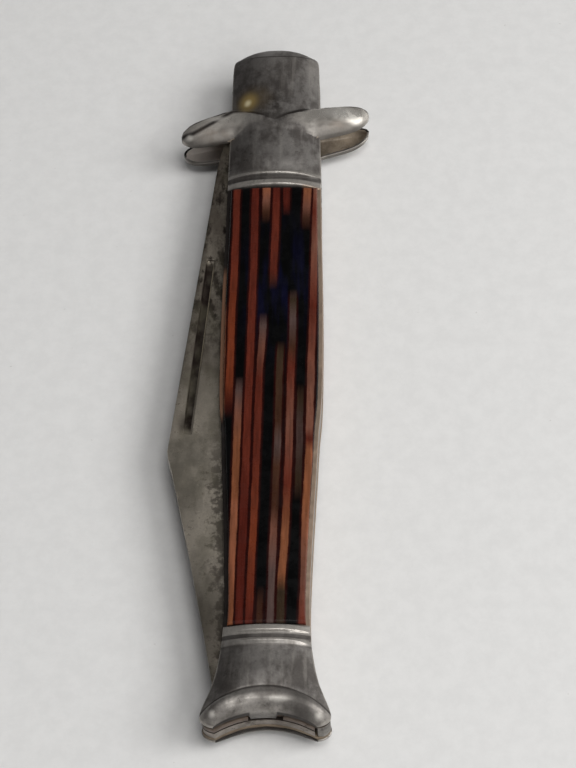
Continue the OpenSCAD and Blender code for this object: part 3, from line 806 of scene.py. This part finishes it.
# painted light: the hollow under the left wing is paler
hollow_lit_left = board.between(board.split(in_mm)[0], -7, -12, 0, 0.6)
board.join(board.paint(steel.outputs["Color"], tone(218, 212, 208), hollow_lit_left), shader, "Base Color")
for skin in (front_skin, rear_skin):
    dress(skin, shell_steel, shell_inside)
print("shell_inside has", len(shell_inside.node_tree.nodes), "nodes")

# %% [markdown]
# ## The blade's finish
# The blade is the oldest-looking piece: olive grey below, brown above, with rust stains in
# clusters, dark pits where it touches the handle, and a nail groove packed with brown dirt,
# whose lip beside the handle catches the light. The groove is straight, so two dot products
# measure how far a point lies from its line and how far along it, and everything about it is
# painted from those.

# %% Distance from a straight line on the blade
GROOVE_TOP, GROOVE_END = Vector((-10.35, 18.7, 0)), Vector((-12.97, -14.6, 0))
GROOVE_LIP, HANDLE_SLANT = 0.72, 0.052


def along_line(board, in_mm, start, end):
    """How far a point lies beside a line, toward the handle, and along it; then the length"""
    run = end - start
    direction = run.normalized()
    offset = board.add("ShaderNodeVectorMath", {0: in_mm, 1: start}, operation="SUBTRACT")

    def reach(way):
        return board.add("ShaderNodeVectorMath", {0: offset.outputs[0], 1: way},
                         operation="DOT_PRODUCT").outputs["Value"]
    return reach(Vector((-direction.y, direction.x, 0))), reach(direction), run.length


print("the groove is", round((GROOVE_END - GROOVE_TOP).length, 1), "mm long")


# %% Where the blade is dirty and where it is worn
def blade_dirt(board, in_mm):
    across, forward, length = along_line(board, in_mm, GROOVE_TOP, GROOVE_END)
    groove = board.product(board.between(board.maths("ABSOLUTE", across), 0.78, 0.5),
                           board.between(forward, -0.4, 0.8),
                           board.between(forward, length + 0.3, length - 1.5))
    blot = near(board, in_mm, (-13.35, -12.6, 6.5), 2.4, (1.15, 0.6, 0.2))
    groove = board.maths("MAXIMUM", groove, board.product(blot, 0.85))
    x, y = board.split(in_mm)[:2]
    stain = board.between(board.noise(board.stretch(in_mm, (1, 0.55, 1)), 0.5, 5, 0.62), 0.44, 0.6)
    upper = board.product(stain, board.between(y, -6, 9, 0.1, 0.95))
    from_handle = board.maths("ADD", x, board.product(y, HANDLE_SLANT))
    by_handle = board.between(from_handle, -12.2, -8.6, 0.0, 0.27, smooth=False)
    spots = board.maths("ADD", board.noise(in_mm, 0.85, 5, 0.62), by_handle)
    lower = board.product(board.between(spots, 0.56, 0.78), board.between(y, -2, -24, 0, 0.8))
    rust = board.maths("MAXIMUM", upper, lower)
    return board.maths("MAXIMUM", groove, rust, clamp=True)


def blade_worn(board, in_mm):
    return board.between(board.split(in_mm)[1], 0, -15, 0.0, 0.85)

# %% Steel of the blade
blade_steel, board, shader, in_mm, steel = steel_finish(
    "blade_steel", dark=tone(106, 98, 88), grey=tone(142, 134, 122), bright=tone(206, 196, 180),
    soil=tone(32, 24, 20), pitting=0.7, streaks=0.12, bump=0.05, wear_and_sheen=blade_worn, dirt_and_shade=blade_dirt,
    rubbed=0.36)
across, forward, length = along_line(board, in_mm, GROOVE_TOP, GROOVE_END)
off_lip = board.maths("ABSOLUTE", board.maths("SUBTRACT", across, GROOVE_LIP))
lit_lip = board.product(board.between(off_lip, 0.16, 0.04), board.between(forward, 0, 2),
                        board.between(forward, length * 0.85, length * 0.5))
olive = board.between(board.noise(board.stretch(in_mm, (1, 0.6, 1)), 0.24, 4, 0.6), 0.42, 0.62)
tip_side = board.between(board.split(in_mm)[1], -34, -46)
colour = board.paint(steel.outputs["Color"], tone(96, 92, 76), olive, 0.4)
colour = board.paint(colour, tone(58, 52, 45), tip_side, 0.6)
colour = board.paint(colour, tone(178, 166, 144), lit_lip, 0.8)
board.join(colour, shader, "Base Color")
dress(plates["blade_plate"], blade_steel)
print("blade_steel has", len(blade_steel.node_tree.nodes), "nodes")


# %% Dirt at the fishtail end
def tail_shade(board, in_mm):
    """Painted shade at the fishtail end of the liners, deeper on the front one"""
    y, z = board.split(in_mm)[1:]
    return board.product(board.between(y, -57, -59.5, 0, 0.9), board.between(z, 4.4, 6, 0.3, 1))


def seam_dirt(board, in_mm):
    """A dark line between the two strips of the spacer"""
    seam = (SEAM_LOW + SEAM_HIGH) / 2
    off_seam = board.maths("ABSOLUTE", board.maths("SUBTRACT", board.split(in_mm)[2], seam))
    return board.between(off_seam, 0.26, 0.12, 0, 0.95)


print("the seam is", round((SEAM_LOW + SEAM_HIGH) / 2, 2), "mm above the table")

# %% Steel of the liners, spring, spacer and rivets
# dark, grey, bright and soil colours, then pitting, streaks, bump and where dirt and painted shade
# darken it
PLAIN_STEELS = {
    "liner_steel": ((108, 94, 78), (150, 134, 114), (188, 172, 150), (48, 36, 29),
                    0.5, 0.1, 0.02, tail_shade),
    "spring_steel": ((92, 88, 84), (134, 130, 124), (176, 172, 166), (44, 36, 30),
                     0.6, 0.3, 0.02, None),
    "spacer_steel": ((96, 88, 81), (136, 128, 120), (168, 160, 152), (40, 31, 26),
                     0.6, 0.1, 0.03, seam_dirt),
    "spacer_brown": ((70, 58, 50), (100, 86, 76), (132, 118, 106), (34, 25, 20),
                     0.6, 0.1, 0.03, seam_dirt),
    "rivet_steel": ((110, 106, 100), (150, 146, 140), (190, 186, 178), (46, 38, 32),
                    0.4, 0.0, 0.02, None)}
steels = {name: steel_finish(name, *(tone(*shade) for shade in shades), pitting, streaks, bump,
                             dirt_and_shade=dirt_and_shade)[0]
          for name, (*shades, pitting, streaks, bump, dirt_and_shade) in PLAIN_STEELS.items()}
for name, steel_name in (
        ("front_liner_plate", "liner_steel"), ("rear_liner_plate", "liner_steel"),
        ("back_spring_plate", "spring_steel"), ("tail_spacer_top", "spacer_brown"),
        ("tail_spacer_bottom", "spacer_steel")):
    dress(plates[name], steels[steel_name])
for node in ("pivot_rivet", "spring_rivet", "tail_rivet", "left_pin", "right_pin"):
    dress(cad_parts[node], steels["rivet_steel"])
print("plain steels:", list(steels))

# %% [markdown]
# ## The striped cover finish
# The covers look like layered horn: long stripes of orange, red-brown and grey that start, bend
# and fade in a near-black ground with a trace of blue. An image would be one way. Here each
# stripe is drawn by a small node group from its centre line, its half width and the colours it
# takes along its length, so every stripe can be moved by itself. A little noise bends and
# frays its edges, and the ends of the cover, where it is rolled down, are left matt.

# %% One stripe as a group
stripe_group, board, given, result = make_group(
    "one_stripe",
    [("Under", "Color"), ("Core", "Color"), ("Fringe", "Color"), ("Presence", "Float"),
     ("Across", "Float"), ("Centre", "Float"), ("Half width", "Float")],
    [("Color", "Color")])
spot = given.outputs
away = board.maths("ABSOLUTE", board.maths("SUBTRACT", spot["Across"], spot["Centre"]))
past = board.maths("SUBTRACT", away, spot["Half width"])
colour = board.paint(spot["Under"], spot["Fringe"], board.between(past, 0.5, -0.02),
                     spot["Presence"])
colour = board.paint(colour, spot["Core"], board.between(past, 0.09, -0.09), spot["Presence"])
board.join(colour, result, "Color")
print("one_stripe has", len(stripe_group.nodes), "nodes")

# %% The stripes of the cover, measured across and along, in mm
ORANGE, EMBER, RUST = tone(104, 48, 28), tone(86, 36, 25), tone(76, 28, 20)
TAN, SAND, PALE = tone(117, 70, 46), tone(130, 79, 56), tone(102, 65, 52)
ASH, OLIVE, BARK = tone(76, 60, 56), tone(50, 40, 28), tone(62, 38, 26)
STRIPES = [
    # half width, centre line as (y, x), colours as (y, colour, presence)
    (0.16, [(9, -7.35), (-4, -7.3), (-12, -7.05)],
     [(9, TAN, 0), (6, TAN, 0.9), (-10, TAN, 0.9), (-12.5, TAN, 0)]),
    (0.56, [(32, -6.05), (15, -6.15), (5, -6.3), (-5, -6.38), (-13, -6.4)],
     [(32, EMBER, 1), (18, EMBER, 1), (6, ORANGE, 1), (-7, ORANGE, 1), (-11.5, RUST, 0.35),
      (-13, RUST, 0)]),
    (0.54, [(-5, -4.85), (-10, -4.9), (-20, -4.95), (-30, -5.02), (-40, -5.22), (-48, -5.4)],
     [(-5.5, ASH, 0), (-8, ASH, 0.9), (-12, PALE, 0.95), (-18, TAN, 1), (-27, TAN, 1),
      (-28, SAND, 1), (-38, SAND, 1), (-48, TAN, 1)]),
    (0.56, [(32, -3.02), (15, -3.05), (5, -3.12), (-5, -3.3), (-20, -3.5), (-30, -3.64),
            (-40, -3.8), (-48, -3.92)],
     [(32, RUST, 1), (10, EMBER, 1), (-20, EMBER, 1), (-30, RUST, 0.95), (-48, RUST, 1)]),
    (0.62, [(32, -1.2), (25, -1.25)],
     [(32, SAND, 1), (29.5, PALE, 1), (27, BARK, 0.9), (24.5, BARK, 0)]),
    (0.52, [(6, -1.3), (2, -1.35), (-3, -1.65), (-10, -1.8), (-20, -1.96), (-30, -2.1),
            (-40, -2.35), (-48, -2.5)],
     [(6.5, ASH, 0), (4, ASH, 0.9), (0, PALE, 0.9), (-6, EMBER, 1), (-20, EMBER, 1),
      (-34, ORANGE, 1), (-48, RUST, 1)]),
    (0.58, [(32, 0.5), (20, 0.3), (14, 0.2), (11, 0.15)],
     [(32, RUST, 1), (25, EMBER, 1), (15, EMBER, 1), (11, BARK, 0)]),
    (0.5, [(32, 2.15), (26, 2.1)], [(32, RUST, 0.9), (29, RUST, 0.9), (26, RUST, 0)]),
    (0.62, [(32, 5.6), (28, 5.45), (23, 5.3)],
     [(32, TAN, 1), (28, PALE, 1), (25.5, BARK, 0.8), (23, BARK, 0)]),
    (0.53, [(32, 7.1), (25, 6.88), (20, 6.75), (10, 6.55), (0, 6.38), (-8, 6.2), (-20, 5.95),
            (-30, 5.55), (-40, 5.32), (-48, 5.12)],
     [(32, PALE, 1), (27, EMBER, 1), (20, PALE, 1), (8, EMBER, 1), (-8, PALE, 1),
      (-15, PALE, 1), (-17, RUST, 0.8), (-19, TAN, 1), (-28, TAN, 1), (-40, PALE, 1),
      (-48, EMBER, 1)]),
    (0.54, [(11, 3.4), (0, 3.3), (-8, 3.1), (-20, 2.9), (-30, 2.65), (-40, 2.15), (-48, 2.0)],
     [(11, ASH, 0), (9, OLIVE, 0.9), (5, ASH, 1), (0, BARK, 1), (-4, EMBER, 1), (-14, PALE, 1),
      (-25, EMBER, 1), (-33, TAN, 1), (-40, TAN, 1), (-43, OLIVE, 0.9), (-48, OLIVE, 0.8)]),
    (0.5, [(1, 1.5), (-8, 1.35), (-20, 1.2), (-28, 0.95), (-35, 0.8), (-48, 0.55)],
     [(1, OLIVE, 0), (-1, OLIVE, 0.9), (-14, BARK, 1), (-18, ASH, 1), (-22, BARK, 1),
      (-29, BARK, 0.7), (-33, PALE, 1), (-40, ASH, 1), (-48, ASH, 1)]),
    (0.5, [(-7, 4.7), (-15, 4.55), (-28, 4.4)],
     [(-7, OLIVE, 0), (-10, OLIVE, 0.8), (-16, ASH, 0.6), (-24, OLIVE, 0.7), (-28, OLIVE, 0)]),
    (0.4, [(-42, -0.9), (-48, -1.0)], [(-42, BARK, 0), (-45, BARK, 0.7), (-48, BARK, 0.7)]),
]
print(len(STRIPES), "stripes")

# %% Lay the stripes over the ground
RAMP_FROM, RAMP_TO, WIDEST = -50, 35, 8


def along_ramp(board, along, stops):
    return board.ramp(along, [((y - RAMP_FROM) / (RAMP_TO - RAMP_FROM), colour)
                              for y, colour in stops])


def striped_colour(board, turned, across, along):
    """A near-black ground with a trace of blue, and every stripe laid over it in turn"""
    ink = board.between(board.noise(board.stretch(turned, (0.5, 0.08, 0)), 1.0, 2), 0.4, 0.62)
    blue = near(board, turned, (1.2, 12, 8.4), 9.0, (1, 0.5, 0))
    colour = board.paint(tone(4, 4, 4), tone(9, 9, 30), ink, blue)
    for half, line, shades in STRIPES:
        # a centre from -WIDEST to WIDEST is kept as a grey from 0 to 1
        greys = [(y, ((x + WIDEST) / (2 * WIDEST),) * 3 + (1,)) for y, x in line]
        centre = board.maths("MULTIPLY_ADD", along_ramp(board, along, greys)[0], 2 * WIDEST)
        centre.node.inputs[2].default_value = -WIDEST
        core, presence = along_ramp(board, along, [(y, c[:3] + (p,)) for y, c, p in shades])
        colour = board.add("ShaderNodeGroup", {
            "Under": colour, "Core": core, "Fringe": tone(40, 8, 5), "Presence": presence,
            "Across": across, "Centre": centre, "Half width": half},
            node_tree=stripe_group).outputs["Color"]
    return colour


print("a stripe can run from", RAMP_FROM, "to", RAMP_TO, "mm along the handle")

# %% The finish of a cover
COAT, COAT_ROUGH = 0.2, 0.08


def striped_finish(name, flip):
    """flip is 1 for the front cover and -1 for the rear one, the same sheet turned over"""
    material, board, shader, in_mm = new_finish(name, Coat_Roughness=COAT_ROUGH,
                                                Specular_IOR_Level=0.16)
    turned = board.stretch(in_mm, (flip, 1, 1))
    x, y = board.split(turned)[:2]
    drift = board.noise(board.stretch(turned, (0.25, 0.09, 0)), 1.0, 2)
    fray = board.noise(board.stretch(turned, (2.2, 0.55, 0)), 1.0, 3)
    across = board.maths("ADD", x, board.between(drift, 0, 1, -0.18, 0.18, smooth=False))
    across = board.maths("ADD", across, board.between(fray, 0, 1, -0.1, 0.1, smooth=False))
    along = board.between(y, RAMP_FROM, RAMP_TO, smooth=False)
    colour = striped_colour(board, turned, across, along)
    streak = board.noise(board.stretch(turned, (3.4, 0.22, 0)), 1.0, 5, 0.65)
    tides = board.noise(board.stretch(turned, (0.7, 0.11, 0), (3, 8, 0)), 1.0, 3, 0.6)
    shade = board.product(board.between(streak, 0.3, 0.7, 0.76, 1.22, smooth=False),
                          board.between(tides, 0.35, 0.65, 0.8, 1.1))
    colour = board.mix(1.0, colour, board.grey(shade), blend="MULTIPLY")
    nicks = board.noise(board.stretch(turned, (3.0, 2.2, 0), (7, 3, 0)), 1.0, 3, 0.7)
    colour = board.paint(colour, tone(120, 104, 92), board.between(nicks, 0.74, 0.78), 0.5)
    smear = board.noise(turned, 0.5, 4, 0.6)
    bumps = board.maths("ADD", board.product(streak, 0.4), smear)
    dents = board.add("ShaderNodeBump", {"Strength": 1.0, "Distance": 0.03 * MM, "Height": bumps})
    ends = board.maths("MAXIMUM", board.between(y, COVER_LOW + 0.6, COVER_LOW + 0.2),
                       board.between(y, COVER_HIGH - 0.5, COVER_HIGH - 0.1))
    gloss = board.between(smear, 0.35, 0.65, 0.2, 0.34)
    matt_ends = board.maths("MAXIMUM", gloss, board.product(ends, 0.8))
    coat = board.product(board.maths("SUBTRACT", 1.0, ends), COAT)
    for value, key in ((colour, "Base Color"), (matt_ends, "Roughness"), (coat, "Coat Weight"),
                       (dents.outputs[0], "Normal")):
        board.join(value, shader, key)
    return material


dress(front_cover_skin, striped_finish("striped_cover_front", 1))
dress(rear_cover_skin, striped_finish("striped_cover_rear", -1))
print("nodes in a cover's finish:", len(front_cover_skin.data.materials[0].node_tree.nodes))

# %% [markdown]
# ## Floor, light and background
# The knife lies on a pale table. A plane big enough for the photograph's view stands for it,
# with a faint mottle and a few grey specks in its paint. One large soft lamp on the right gives
# the highlights and the soft shadow to the left, one beside the camera lights the faces turned
# to it, one overhead opens the shadows, and pale walls fill in.
# The ceiling stays dark, because the flat steel and the glossy covers mirror it and look dark in
# the photograph. The sum is kept so that a colour renders about as it is written.

# %% Floor
FLOOR_HALF = 1.5
bm = bmesh.new()
bmesh.ops.create_grid(bm, x_segments=1, y_segments=1, size=FLOOR_HALF)
floor = mesh_object("table_top", bm)
table_paint, board, shader, in_mm = new_finish("table_paint", Roughness=0.75,
                                               Specular_IOR_Level=0.2)
mottle = board.noise(in_mm, 0.35, 6, 0.7)
plaster = board.mix(board.between(mottle, 0.3, 0.7), tone(215, 214, 212), tone(221, 220, 218))
specks = board.between(board.noise(in_mm, 0.5, 3, 0.6), 0.72, 0.78)
board.join(board.paint(plaster, tone(150, 144, 136), specks, 0.35), shader, "Base Color")
dress(floor, table_paint)
print("the table is", 2 * FLOOR_HALF, "m wide")


# %% Lamps and world
def soft_lamp(name, place, size, watts):
    lamp = bpy.data.lights.new(name, "AREA")
    lamp.shape, lamp.size, lamp.energy = "DISK", size, watts
    turn = (-Vector(place)).to_track_quat("-Z", "Y").to_matrix().to_4x4()
    in_scene(name, lamp).matrix_world = Matrix.Translation(place) @ turn


LEFT_WALL, RIGHT_WALL = (0.15, 0.15, 0.16, 1), (0.98, 0.98, 0.98, 1)
CEILING = (0.05, 0.05, 0.052, 1)
soft_lamp("window", (0.64, -0.1, 0.6), 0.55, 4.4)
soft_lamp("beside_camera", (0.42, -0.66, 0.6), 0.6, 2.6)
soft_lamp("overhead", (0.16, -0.1, 1.0), 0.5, 3.8)
world = bpy.data.worlds.new("room")
bpy.context.scene.world = world
world.use_nodes = True
board = Board(world.node_tree)
room = world.node_tree.nodes["Background"]
toward = board.split(board.add("ShaderNodeTexCoord").outputs["Generated"])
walls = board.mix(board.between(toward[0], -0.7, 0.8), LEFT_WALL, RIGHT_WALL)
board.join(board.mix(board.between(toward[2], 0.05, 0.62), walls, CEILING), room, "Color")
bpy.context.scene.view_settings.view_transform = "Standard"
